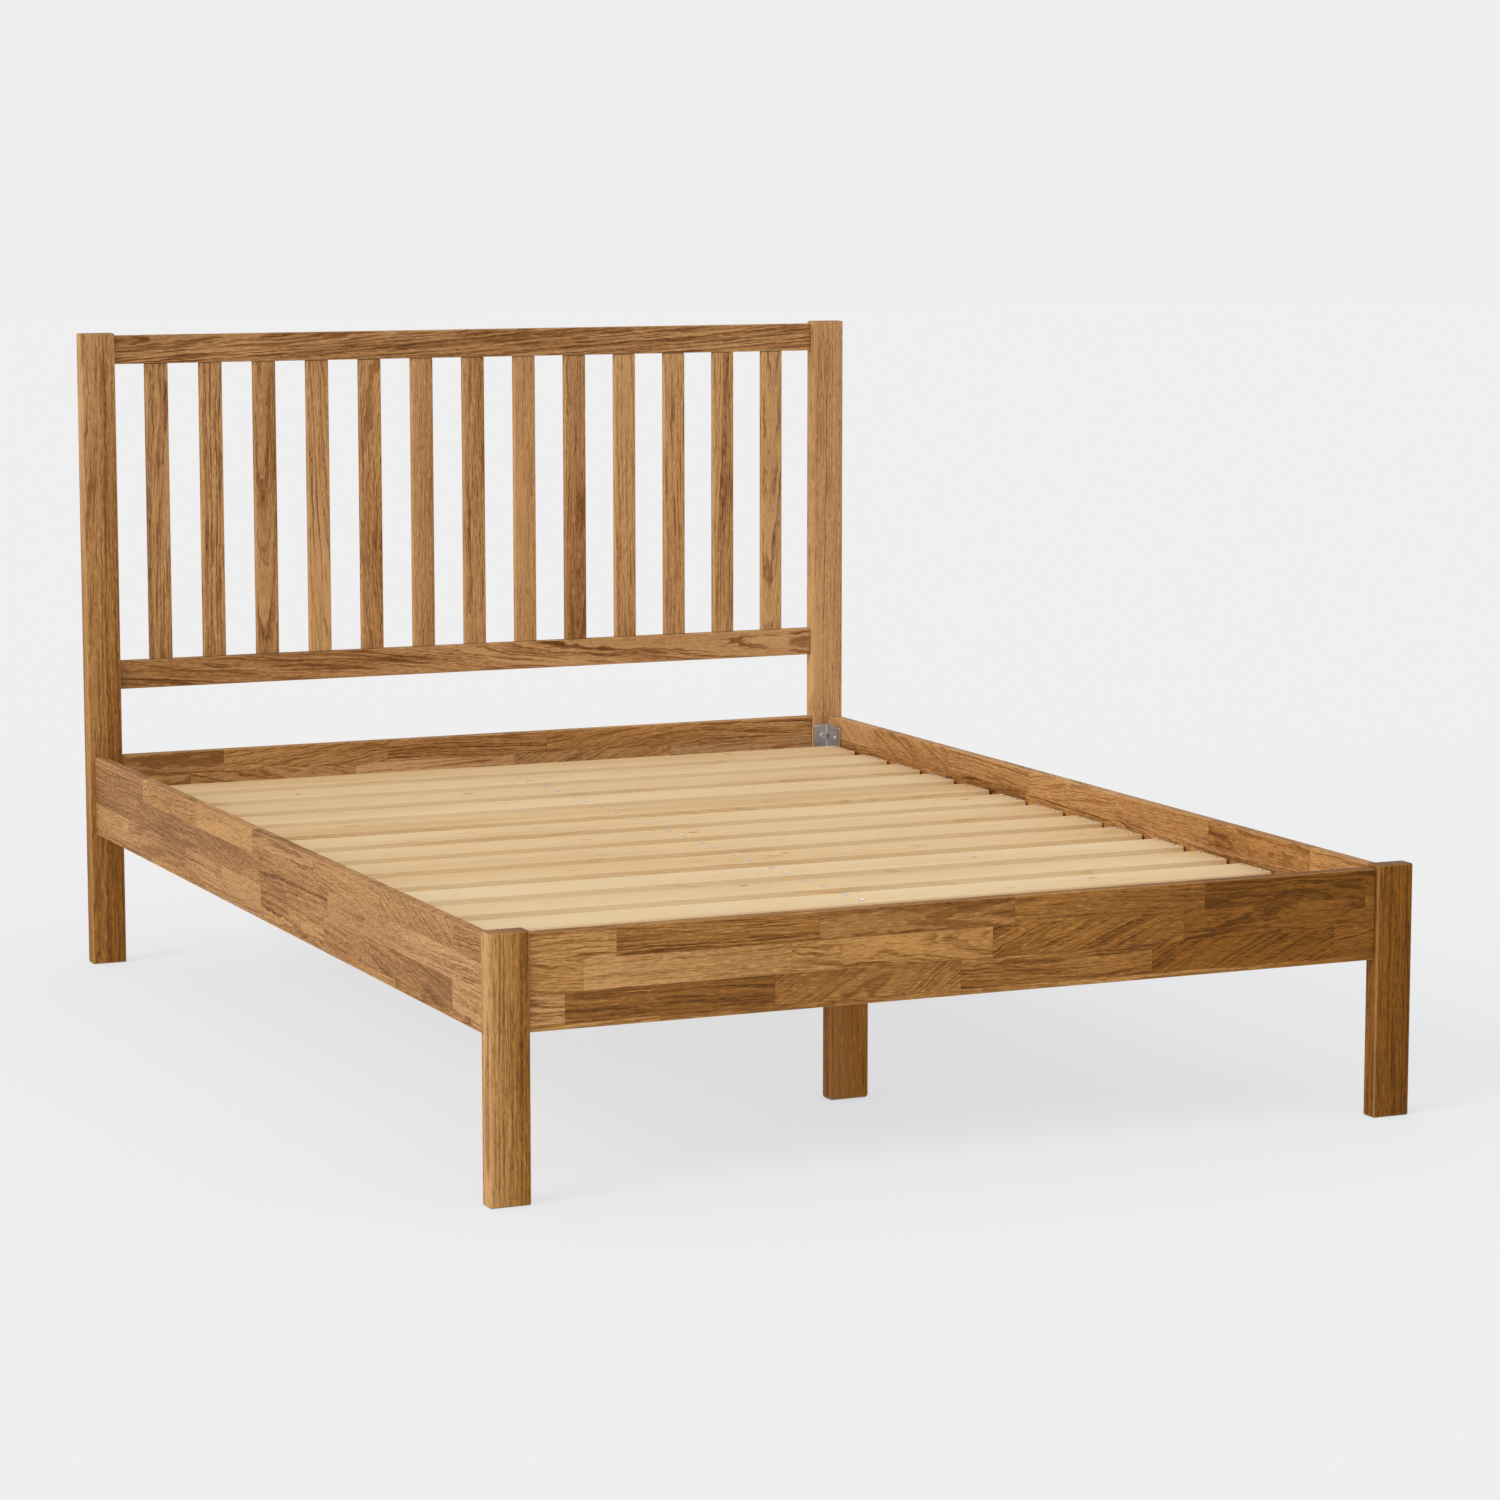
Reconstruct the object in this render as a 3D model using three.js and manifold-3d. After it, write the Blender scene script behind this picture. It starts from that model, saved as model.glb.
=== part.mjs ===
// Oak double bed frame: a slatted headboard, a low foot end, two side rails and a slatted base.
// Millimetres. X runs across the bed, Y from the foot end to the head end, Z up from the floor.
// The origin is on the floor, in the middle of the bed.
import * as THREE from "three";
import { RoundedBoxGeometry } from "three/addons/geometries/RoundedBoxGeometry.js";
import { mergeVertices } from "three/addons/utils/BufferGeometryUtils.js";
import Module from "manifold-3d";

const wasm = await Module();
wasm.setup();

// Overall size
const bedWidth = 1440;
const bedLength = 1990;

// Gap left between pieces that touch
const fit = 0.3;

// Posts and legs share one section, the wide face towards the foot end
const postWide = 60;
const postDeep = 30;
const postArris = 3.5;
const headPostHeight = 1095;
const footLegHeight = 375;

// Side rails, foot rail and head cross rail are cut from one board
const railHeight = 135;
const railThick = 20;
const railArris = 2;
const sideRailBottom = 229;
const sideRailSetback = 10;
const footRailBottom = 235;
const footRailSetback = 6;

// Headboard
const headRailHeight = 49;
const headRailThick = 17;
const headRailSetback = 12;
const topRailTop = 1090.5;
const lowerRailTop = 528;
const headSlatCount = 13;
const headSlatWide = 39.5;
const headSlatThick = 13;

// Stub tenons: how far they go in, how thick they are, and the shoulder left above and below
const tenonLength = 12;
const tenonThick = 8;
const railShoulder = 20;
const headRailShoulder = 8;
const slatShoulder = 7;

// Slatted base
const ledgerHeight = 35;
const ledgerWide = 25;
const ledgerTop = 295;
const ledgerEndClear = 97;
const baseSlatCount = 14;
const baseSlatWide = 90;
const baseSlatThick = 18;
const baseSlatEndClear = 5;
const baseArris = 1.5;

// Centre rail on two legs
const centreRailWide = 30;
const centreRailHeight = 60;
const centreLegWide = 64;
const centreLegDeep = 28;
const centreLegHeight = 290;
const centreLegArris = 5;
const centreLegOffset = 549;
const centreLegShift = 15;
const centreBoltHeight = 265;

// Steel fittings
const plate = 3;
const bracketHeight = 110;
const bracketBottom = 240;
const bracketReach = 60;
const bracketBend = 2.5;
const bracketHole = 3.3;
const bracketScrewRise = 33;
const bracketScrewReach = 40;
const hangerDepth = 36;
const hangerFlange = 20;
const boltShank = 3;
const boltLength = 22;
const boltHeadAcross = 10;
const boltHeadHeight = 4;
const boltWasherRadius = 5.8;
const boltWasherThick = 1.2;
const cornerBoltInset = 41;
const cornerBoltEdge = 22;
const throughBoltShank = 4;
const throughNutAcross = 13;
const throughNutHeight = 6.5;
const throughWasherRadius = 8.5;
const throughHeadRadius = 9.5;
const throughHeadRise = 4;
const throughBoltEnd = 3;
const roundSteps = 12;

// Places that follow from the sizes above
const halfWidth = bedWidth / 2;
const halfLength = bedLength / 2;
const postX = halfWidth - postWide / 2;
const postY = halfLength - postDeep / 2;
const betweenPosts = bedWidth - 2 * postWide;
const sideRailX = halfWidth - sideRailSetback - railThick / 2;
const insideX = sideRailX - railThick / 2;
const footRailY = -halfLength + footRailSetback + railThick / 2;
const headCrossY = -footRailY;
const insideY = headCrossY - railThick / 2;
const headRailY = halfLength - postDeep + headRailSetback + headRailThick / 2;
const topRailZ = topRailTop - headRailHeight / 2;
const lowerRailZ = lowerRailTop - headRailHeight / 2;
const slatSpan = topRailTop - headRailHeight - lowerRailTop;
const cornerY = halfLength - postDeep;
const sideRailLength = 2 * cornerY - 2 * fit;
const sideRailZ = sideRailBottom + railHeight / 2;
const footRailZ = footRailBottom + railHeight / 2;
const centreRailZ = ledgerTop - centreRailHeight / 2;
const cornerBoltX = halfWidth - cornerBoltInset;
const lowerBoltZ = bracketBottom + cornerBoltEdge;
const upperBoltZ = bracketBottom + bracketHeight - cornerBoltEdge;

const oak = { color: 0xb27b40, roughness: 0.5, metalness: 0 };
const pine = { color: 0xdcbf8e, roughness: 0.65, metalness: 0 };
const zinc = { color: 0xb9bcc0, roughness: 0.35, metalness: 1 };

const bed = new THREE.Group();
const headboard = new THREE.Group();
const footEnd = new THREE.Group();
const sides = new THREE.Group();
const base = new THREE.Group();
const fittings = new THREE.Group();
bed.add(headboard, footEnd, sides, base, fittings);

// A closed geometry as a solid that can be joined and cut.
function solid(geometry, x = 0, y = 0, z = 0) {
  const bare = geometry.clone();
  bare.deleteAttribute("normal");
  bare.deleteAttribute("uv");
  bare.translate(x, y, z);
  const merged = mergeVertices(bare, 1e-3);
  const vertProperties = new Float32Array(merged.attributes.position.array);
  const triVerts = new Uint32Array(merged.index.array);
  return new wasm.Manifold(new wasm.Mesh({ numProp: 3, vertProperties, triVerts }));
}

// A finished solid as a named mesh in its group.
function place(group, name, shape, finish, x, y, z) {
  const { numProp, vertProperties, triVerts } = shape.getMesh();
  const geometry = new THREE.BufferGeometry();
  const positions = new THREE.InterleavedBuffer(vertProperties, numProp);
  geometry.setAttribute("position", new THREE.InterleavedBufferAttribute(positions, 3, 0));
  geometry.setIndex(new THREE.BufferAttribute(triVerts, 1));
  const flat = geometry.toNonIndexed();
  flat.computeVertexNormals();
  const mesh = new THREE.Mesh(flat, new THREE.MeshStandardMaterial(finish));
  mesh.name = name;
  mesh.position.set(x, y, z);
  group.add(mesh);
  return mesh;
}

// A timber with eased edges, centred on its own middle.
function timber(wide, deep, high, arris) {
  return solid(new RoundedBoxGeometry(wide, deep, high, 1, arris));
}

// A square block: a tenon, the socket cut for one, or a flat plate.
function block(wide, deep, high, x, y, z) {
  return solid(new THREE.BoxGeometry(wide, deep, high), x, y, z);
}

// A round bar along X or Y, or a hexagonal one when steps is 6.
function bar(axis, radius, length, x, y, z, steps = roundSteps) {
  const geometry = new THREE.CylinderGeometry(radius, radius, length, steps);
  if (axis === "X") geometry.rotateZ(Math.PI / 2);
  return solid(geometry, x, y, z);
}

// The stub tenon at one end of a rail, in the frame of the rail's middle.
function railTenon(side, railLength, high, shoulder) {
  const reach = tenonLength + fit;
  const x = side * (railLength / 2 + reach / 2 - fit);
  return block(reach, tenonThick, high - 2 * shoulder, x, 0, 0);
}

// A rail across the bed with a stub tenon at each end.
function crossRail(high, thick, shoulder) {
  const length = betweenPosts - 2 * fit;
  return timber(length, thick, high, railArris)
    .add(railTenon(-1, length, high, shoulder))
    .add(railTenon(1, length, high, shoulder));
}

// The socket a cross rail's tenon leaves in a post, in the frame of the post's middle.
function postSocket(side, railY, railZ, high, shoulder, postHeight) {
  const deep = tenonLength + 2 * fit;
  const x = -side * (postWide / 2 - deep / 2 + fit);
  const y = railY - Math.sign(railY) * postY;
  const tall = high - 2 * shoulder + 2 * fit;
  return block(deep + 2 * fit, tenonThick + 2 * fit, tall, x, y, railZ - postHeight / 2);
}

// The two holes for the corner bolts, drilled from the face that the side rail meets.
function cornerHoles(side, end, postHeight) {
  const depth = boltLength - plate + 2 * fit;
  const x = side * (cornerBoltX - postX);
  const y = -end * (postDeep / 2 - depth / 2 + fit);
  const radius = boltShank + fit;
  return bar("Y", radius, depth + 2 * fit, x, y, lowerBoltZ - postHeight / 2)
    .add(bar("Y", radius, depth + 2 * fit, x, y, upperBoltZ - postHeight / 2));
}

// Head posts carry both headboard rails and the head cross rail.
function addHeadPost(side, name) {
  const high = headPostHeight;
  const post = timber(postWide, postDeep, high, postArris)
    .subtract(postSocket(side, headRailY, topRailZ, headRailHeight, headRailShoulder, high))
    .subtract(postSocket(side, headRailY, lowerRailZ, headRailHeight, headRailShoulder, high))
    .subtract(postSocket(side, headCrossY, sideRailZ, railHeight, railShoulder, high))
    .subtract(cornerHoles(side, 1, high));
  place(headboard, name, post, oak, side * postX, postY, headPostHeight / 2);
}

// Foot legs carry the foot rail.
function addFootLeg(side, name) {
  const leg = timber(postWide, postDeep, footLegHeight, postArris)
    .subtract(postSocket(side, footRailY, footRailZ, railHeight, railShoulder, footLegHeight))
    .subtract(cornerHoles(side, -1, footLegHeight));
  place(footEnd, name, leg, oak, side * postX, -postY, footLegHeight / 2);
}

// The middle of each headboard slat across the bed: equal gaps, ends included.
function headSlatX(index) {
  const gap = (betweenPosts - headSlatCount * headSlatWide) / (headSlatCount + 1);
  return -betweenPosts / 2 + (index + 1) * gap + (index + 0.5) * headSlatWide;
}

// A headboard rail with a socket for every slat on the face given by up: 1 top, -1 underside.
function addHeadRail(name, z, up) {
  let rail = crossRail(headRailHeight, headRailThick, headRailShoulder);
  const deep = tenonLength + 2 * fit;
  for (let i = 0; i < headSlatCount; i += 1) {
    const wide = headSlatWide - 2 * slatShoulder + 2 * fit;
    const socketZ = up * (headRailHeight / 2 - deep / 2 + fit);
    rail = rail.subtract(block(wide, tenonThick + 2 * fit, deep + 2 * fit, headSlatX(i), 0, socketZ));
  }
  place(headboard, name, rail, oak, 0, headRailY, z);
}

function addHeadSlats() {
  const high = slatSpan - 2 * fit;
  const tenon = high + 2 * tenonLength;
  for (let i = 0; i < headSlatCount; i += 1) {
    const slat = timber(headSlatWide, headSlatThick, high, baseArris)
      .add(block(headSlatWide - 2 * slatShoulder, tenonThick, tenon, 0, 0, 0));
    const name = `headboard_slat_${String(i + 1).padStart(2, "0")}`;
    place(headboard, name, slat, oak, headSlatX(i), headRailY, lowerRailTop + slatSpan / 2);
  }
}

// Side rails butt against the posts and carry a ledger batten inside.
function addSideRail(side, railName, ledgerName) {
  const rail = timber(railThick, sideRailLength, railHeight, railArris);
  place(sides, railName, rail, oak, side * sideRailX, 0, sideRailZ);
  const ledgerLength = 2 * (halfLength - ledgerEndClear);
  const ledger = timber(ledgerWide, ledgerLength, ledgerHeight, baseArris);
  const ledgerX = side * (insideX - fit - ledgerWide / 2);
  place(sides, ledgerName, ledger, pine, ledgerX, 0, ledgerTop - ledgerHeight / 2);
}

// Base slats lie across the ledgers and the centre rail, evenly spaced.
function addBaseSlats() {
  const length = 2 * (insideX - baseSlatEndClear);
  const gap = (2 * insideY - baseSlatCount * baseSlatWide) / (baseSlatCount + 1);
  for (let i = 0; i < baseSlatCount; i += 1) {
    const y = -insideY + (i + 1) * gap + (i + 0.5) * baseSlatWide;
    const slat = timber(length, baseSlatWide, baseSlatThick, baseArris);
    const name = `base_slat_${String(i + 1).padStart(2, "0")}`;
    place(base, name, slat, pine, 0, y, ledgerTop + fit + baseSlatThick / 2);
  }
}

// The centre rail, drilled across for the bolt of each centre leg.
function addCentreRail() {
  const length = 2 * (insideY - plate - 2 * fit);
  const boltZ = centreBoltHeight - centreRailZ;
  let rail = timber(centreRailWide, length, centreRailHeight, baseArris);
  for (const end of [-1, 1]) {
    const hole = bar("X", throughBoltShank + fit, centreRailWide + 2, 0, end * centreLegOffset, boltZ);
    rail = rail.subtract(hole);
  }
  place(base, "centre_rail", rail, pine, 0, 0, centreRailZ);
}

// A centre leg is notched so that a shoulder carries the rail and a cheek laps its side.
function addCentreLeg(end, legName, boltName) {
  const middle = centreLegHeight / 2;
  const shoulder = ledgerTop - centreRailHeight - fit;
  const cheek = centreRailWide / 2 - centreLegShift + fit;
  const notchWide = cheek + centreLegWide / 2 + fit;
  const notchHigh = centreLegHeight - shoulder + fit;
  const notchZ = shoulder + notchHigh / 2 - middle;
  const notch = block(notchWide, centreLegDeep + 2, notchHigh, cheek - notchWide / 2, 0, notchZ);
  const hole = bar("X", throughBoltShank + fit, centreLegWide + 2, 0, 0, centreBoltHeight - middle);
  const leg = timber(centreLegWide, centreLegDeep, centreLegHeight, centreLegArris)
    .subtract(notch)
    .subtract(hole);
  place(base, legName, leg, oak, centreLegShift, end * centreLegOffset, middle);
  place(fittings, boltName, throughBolt(), zinc, 0, end * centreLegOffset, centreBoltHeight);
}

// A round-headed bolt through rail and leg, with its washer and nut on the cheek side.
function throughBolt() {
  const headFace = -centreRailWide / 2 - fit;
  const nutFace = centreLegShift + centreLegWide / 2 + fit;
  const nutRadius = throughNutAcross / Math.sqrt(3);
  const washerThick = boltWasherThick + fit;
  const dome = new THREE.Shape();
  dome.moveTo(0, 0);
  dome.lineTo(throughHeadRadius, 0);
  dome.quadraticCurveTo(throughHeadRadius * 0.8, throughHeadRise, 0, throughHeadRise);
  const head = new THREE.LatheGeometry(dome.getPoints(3), roundSteps);
  head.rotateZ(Math.PI / 2);
  const nutX = nutFace + washerThick + throughNutHeight / 2 - fit;
  const length = nutX + throughNutHeight / 2 + throughBoltEnd - headFace;
  return solid(head, headFace, 0, 0)
    .add(bar("X", throughBoltShank, length, headFace + length / 2 - fit, 0, 0))
    .add(bar("X", throughWasherRadius, washerThick, nutFace + washerThick / 2, 0, 0))
    .add(bar("X", nutRadius, throughNutHeight, nutX, 0, 0, 6));
}

// A corner bracket: one wing on the side rail, the other on the post, bent from plate.
function cornerBracket(side, end) {
  const profile = new THREE.Shape();
  const wing = insideX - (halfWidth - postWide) - 1;
  profile.moveTo(0, 0);
  profile.lineTo(wing, 0);
  profile.lineTo(wing, plate);
  profile.lineTo(plate + bracketBend, plate);
  profile.quadraticCurveTo(plate, plate, plate, plate + bracketBend);
  profile.lineTo(plate, bracketReach);
  profile.lineTo(0, bracketReach);
  profile.closePath();
  const settings = { depth: bracketHeight, bevelEnabled: false, curveSegments: 2 };
  let angle = solid(new THREE.ExtrudeGeometry(profile, settings), 0, 0, -bracketHeight / 2);
  const boltRise = bracketHeight / 2 - cornerBoltEdge;
  const boltX = insideX - fit - cornerBoltX;
  for (const up of [-1, 1]) {
    angle = angle
      .subtract(bar("Y", bracketHole, plate * 4, boltX, 0, up * boltRise))
      .subtract(bar("X", bracketHole, plate * 4, 0, bracketScrewReach, up * bracketScrewRise));
  }
  return angle.scale([-side, -end, 1]);
}

// A hex-headed bolt with its washer, from the bracket wing into the post.
function cornerBolt(end) {
  const headRadius = boltHeadAcross / Math.sqrt(3);
  const headY = boltWasherThick + boltHeadHeight / 2 - fit;
  return bar("Y", boltShank, boltLength, 0, end * (boltLength / 2 - fit), 0)
    .add(bar("Y", boltWasherRadius, boltWasherThick, 0, -end * (boltWasherThick / 2), 0))
    .add(bar("Y", headRadius, boltHeadHeight, 0, -end * headY, 0, 6));
}

function addCorner(side, end, corner) {
  const x = side * (insideX - fit);
  const y = end * (cornerY - fit);
  const z = bracketBottom + bracketHeight / 2;
  const boltX = side * cornerBoltX;
  const boltY = end * (cornerY - plate - 2 * fit);
  place(fittings, `corner_bracket_${corner}`, cornerBracket(side, end), zinc, x, y, z);
  place(fittings, `corner_bolt_${corner}_lower`, cornerBolt(end), zinc, boltX, boltY, lowerBoltZ);
  place(fittings, `corner_bolt_${corner}_upper`, cornerBolt(end), zinc, boltX, boltY, upperBoltZ);
}

// The stirrup that holds an end of the centre rail: back plate, two cheeks and a floor.
function centreHanger(end) {
  const inner = centreRailWide / 2 + fit;
  const tall = centreRailHeight;
  const back = 2 * (inner + plate + hangerFlange);
  const cheekX = inner + plate / 2;
  const cheekY = -end * (hangerDepth / 2);
  const floorWide = 2 * (inner + plate);
  return block(back, plate, tall, 0, -end * (plate / 2), 0)
    .add(block(plate, hangerDepth, tall, -cheekX, cheekY, 0))
    .add(block(plate, hangerDepth, tall, cheekX, cheekY, 0))
    .add(block(floorWide, hangerDepth, plate, 0, cheekY, -tall / 2 + plate / 2));
}

function addHanger(end, name) {
  const z = centreRailZ - plate - fit;
  place(fittings, name, centreHanger(end), zinc, 0, end * (insideY - fit), z);
}

addHeadPost(-1, "head_post_left");
addHeadPost(1, "head_post_right");
addHeadRail("headboard_top_rail", topRailZ, -1);
addHeadRail("headboard_lower_rail", lowerRailZ, 1);
addHeadSlats();
const headCrossRail = crossRail(railHeight, railThick, railShoulder);
place(headboard, "head_cross_rail", headCrossRail, oak, 0, headCrossY, sideRailZ);

addFootLeg(-1, "foot_leg_left");
addFootLeg(1, "foot_leg_right");
const footRail = crossRail(railHeight, railThick, railShoulder);
place(footEnd, "foot_rail", footRail, oak, 0, footRailY, footRailZ);

addSideRail(-1, "side_rail_left", "ledger_left");
addSideRail(1, "side_rail_right", "ledger_right");

addCentreRail();
addCentreLeg(-1, "centre_leg_foot", "centre_leg_bolt_foot");
addCentreLeg(1, "centre_leg_head", "centre_leg_bolt_head");
addBaseSlats();

addCorner(-1, -1, "foot_left");
addCorner(1, -1, "foot_right");
addCorner(-1, 1, "head_left");
addCorner(1, 1, "head_right");
addHanger(-1, "centre_hanger_foot");
addHanger(1, "centre_hanger_head");

export default bed;
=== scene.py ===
# Oak double bed frame: the looks of every piece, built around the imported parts.
# Metres. X runs across the bed, Y from the foot end to the head end, Z up from the floor.
import math
import zlib
import bpy
import numpy as np
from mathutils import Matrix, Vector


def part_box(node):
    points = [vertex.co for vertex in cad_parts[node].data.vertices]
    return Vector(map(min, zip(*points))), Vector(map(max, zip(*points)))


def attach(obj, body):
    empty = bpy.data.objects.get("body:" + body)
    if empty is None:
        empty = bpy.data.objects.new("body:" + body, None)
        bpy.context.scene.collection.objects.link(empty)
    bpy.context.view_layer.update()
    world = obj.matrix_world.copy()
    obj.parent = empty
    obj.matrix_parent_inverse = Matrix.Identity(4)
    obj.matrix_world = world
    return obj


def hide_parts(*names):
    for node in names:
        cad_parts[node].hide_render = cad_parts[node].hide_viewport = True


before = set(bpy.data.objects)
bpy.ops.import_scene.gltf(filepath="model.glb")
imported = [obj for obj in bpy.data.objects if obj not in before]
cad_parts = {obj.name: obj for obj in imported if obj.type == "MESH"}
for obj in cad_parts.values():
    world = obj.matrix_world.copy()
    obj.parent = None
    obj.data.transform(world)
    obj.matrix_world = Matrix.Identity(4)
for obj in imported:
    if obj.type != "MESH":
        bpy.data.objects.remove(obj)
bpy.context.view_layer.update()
scene = bpy.context.scene
fit = 0.0003    # gap left between pieces that touch
print("frame loaded:", len(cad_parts), "parts")


def dice(name):
    # the same random draws for a piece on every run
    return np.random.default_rng(zlib.crc32(name.encode()))


cameraView = {
    "location": (-2.73408, -6.38061, 1.40183),
    "yaw": 23.972,      # degrees to the right of straight along the bed
    "pitch": 7.748,     # degrees down
    "lens": 105.37,
}


def addCamera():
    data = bpy.data.cameras.new("camera")
    data.lens = cameraView["lens"]
    data.clip_end = 200
    camera = bpy.data.objects.new("camera", data)
    camera.location = cameraView["location"]
    tilt = math.radians(90 - cameraView["pitch"])
    camera.rotation_euler = (tilt, 0, -math.radians(cameraView["yaw"]))
    scene.collection.objects.link(camera)
    scene.camera = camera


# The floor's own colour is warm and its glow cool. Together they are a neutral pale grey, and the
# timber's warm glow on the floor doesn't tint the shadow.
studio = {
    "sky": 0.86,             # brightness of the even surroundings
    "floorColour": (0.330, 0.262, 0.216),
    "floorGlow": (0.517, 0.588, 0.636),
    "floorSize": 60,
    "keyFrom": (-5.1, -1.5, 2.8),
    "keySpread": 32,         # degrees
    "keyStrength": 1.3,
}


def addStudio():
    scene.view_settings.view_transform = "Standard"
    world = bpy.data.worlds.new("studio")
    scene.world = world
    world.use_nodes = True
    sky = world.node_tree.nodes["Background"]
    sky.inputs["Color"].default_value = (1, 1, 1, 1)
    sky.inputs["Strength"].default_value = studio["sky"]

    lamp = bpy.data.lights.new("key", "SUN")
    lamp.angle = math.radians(studio["keySpread"])
    lamp.energy = studio["keyStrength"]
    key = bpy.data.objects.new("key", lamp)
    key.location = studio["keyFrom"]
    key.rotation_euler = key.location.to_track_quat("Z", "Y").to_euler()
    scene.collection.objects.link(key)

    reach = studio["floorSize"] / 2
    corners = np.array([[-1, -1, 0], [1, -1, 0], [1, 1, 0], [-1, 1, 0]]) * reach
    mesh = bpy.data.meshes.new("floor")
    mesh.from_pydata(corners.tolist(), [], [[0, 1, 2, 3]])
    floor = bpy.data.objects.new("floor", mesh)
    scene.collection.objects.link(floor)
    material = bpy.data.materials.new("floor")
    material.use_nodes = True
    shader = material.node_tree.nodes["Principled BSDF"]
    shader.inputs["Base Color"].default_value = (*studio["floorColour"], 1)
    shader.inputs["Roughness"].default_value = 1
    shader.inputs["Specular IOR Level"].default_value = 0
    shader.inputs["Emission Color"].default_value = (*studio["floorGlow"], 1)
    shader.inputs["Emission Strength"].default_value = 1
    mesh.materials.append(material)


addCamera()
addStudio()
print("camera and studio made")


class Wire:
    # One output socket. Arithmetic adds Math nodes, and node() adds any other node.
    def __init__(self, tree, socket=None):
        self.tree = tree
        self.socket = socket

    def node(self, kind, settings=None, values=None, out=0):
        made = self.tree.nodes.new(kind)
        for key, value in (settings or {}).items():
            if key == "stops":
                fillRamp(made.color_ramp, value)
            else:
                setattr(made, key, value)
        for key, value in (values or {}).items():
            if isinstance(value, Wire):
                self.tree.links.new(value.socket, made.inputs[key])
            else:
                made.inputs[key].default_value = value
        return Wire(self.tree, made.outputs[out])

    def maths(self, operation, *values):
        return self.node("ShaderNodeMath", {"operation": operation}, dict(enumerate(values)))

    def vector(self, operation, *values):
        return self.node("ShaderNodeVectorMath", {"operation": operation}, dict(enumerate(values)))

    def __add__(self, other):
        return self.maths("ADD", self, other)

    def __sub__(self, other):
        return self.maths("SUBTRACT", self, other)

    def __rsub__(self, other):
        return self.maths("SUBTRACT", other, self)

    def __mul__(self, other):
        return self.maths("MULTIPLY", self, other)

    def __truediv__(self, other):
        return self.maths("DIVIDE", self, other)

    def __pow__(self, other):
        return self.maths("POWER", self, other)

    __radd__ = __add__

    def rise(self, start, end):
        # 0 below start, 1 past end, smooth between
        values = {"Value": self, "From Min": start, "From Max": end}
        return self.node("ShaderNodeMapRange", {"interpolation_type": "SMOOTHSTEP"}, values)

    def limited(self):
        return self.node("ShaderNodeClamp", None, {"Value": self})

    def parts(self):
        # the three numbers of a vector
        split = self.node("ShaderNodeSeparateXYZ", None, {0: self}).socket.node
        return [Wire(self.tree, socket) for socket in split.outputs]

    def attribute(self, name):
        return self.node("ShaderNodeAttribute", {"attribute_name": name}, None, 1)

    def noise(self, place, stretch, detail, out=0):
        stretched = self.vector("MULTIPLY", place, stretch)
        values = {"Vector": stretched, "Scale": 1, "Detail": detail}
        return self.node("ShaderNodeTexNoise", None, values, out)

    def blend(self, amount, first, second, how="MIX"):
        settings = {"data_type": "RGBA", "blend_type": how}
        return self.node("ShaderNodeMix", settings, {0: amount, 6: first, 7: second}, 2)


def fillRamp(ramp, stops):
    while len(ramp.elements) < len(stops):
        ramp.elements.new(1)
    for element, (position, colour) in zip(ramp.elements, stops):
        element.position = position
        element.color = (*colour, 1)


def newFinish(name):
    material = bpy.data.materials.new(name)
    material.use_nodes = True
    shader = material.node_tree.nodes["Principled BSDF"]
    return material, Wire(material.node_tree), shader


def feed(wire, shader, socket):
    wire.tree.links.new(wire.socket, shader.inputs[socket])


# Colours from dark to light, and how strongly each kind of figure shows.
oakFinish = {
    "dark": (0.100, 0.040, 0.009),
    "middle": (0.275, 0.123, 0.037),
    "light": (0.570, 0.330, 0.138),
    "pale": (1.02, 1.00, 1.03),    # multiplies the colour where the warmth is 0
    "deep": (1.03, 0.86, 0.26),    # and where it is 1
    "ring": 0.0080,          # width of one year's growth
    "wobble": 0.022,         # how far the rings wander over a hand's width
    "ripple": 0.0055,        # and over a finger's width
    "ringDepth": 0.60,
    "streakDepth": 0.34,
    "lineDepth": 0.34,
    "poreDepth": 0.32,
    "fleckDepth": 0.16,
    "base": 0.77,
    "gloss": 0.54,           # roughness of the oiled surface
}
pineFinish = {
    "dark": (0.420, 0.215, 0.080),
    "middle": (0.700, 0.490, 0.270),
    "light": (0.800, 0.630, 0.400),
    "pale": (1.0, 1.0, 1.0),
    "deep": (1.0, 0.95, 0.80),
    "ring": 0.0042,
    "wobble": 0.014,
    "ripple": 0.002,
    "ringDepth": 0.45,
    "streakDepth": 0.25,
    "lineDepth": 0.05,
    "poreDepth": 0.08,
    "fleckDepth": 0.0,
    "base": 0.72,
    "gloss": 0.58,
}


# How many times a metre each noise changes along, across and through a board.
pace = {
    "sway": (2.4, 9, 9),          # slow wander of the rings
    "flow": (30, 75, 75),         # ripple of the rings
    "fade": (5, 45, 45),          # where rings show strongly or weakly
    "cloud": (1.3, 8, 8),         # broad paler and darker areas
    "streak": (2.2, 95, 1),       # bands of several years: along the board, then out from the pith
    "line": (9, 400, 1),          # thin dark lines between years, likewise
    "fibre": (18, 900, 900),
    "tick": (85, 400, 400),       # short open pores
    "pore": (45, 900, 900),       # long fine pores
    "fleck": (60, 380, 380),      # pale flecks
}

# What the oil, the saw and the sandpaper do to every board, with a painted highlight on its arrises.
surface = {
    "arrisPaleAndHighlight": 0.30,       # how far arrises go towards the light colour: rubbed wear and a painted highlight
    "endDark": 0.55,         # how far end grain goes towards the dark one
    "seamDark": 0.45,        # and glue lines
    "seamWidth": 0.0006,
    "seamCore": 0.0001,
    "bumpStrength": 0.35,
    "bumpDepth": 0.0004,
    "sheen": 0.10,
}


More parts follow.
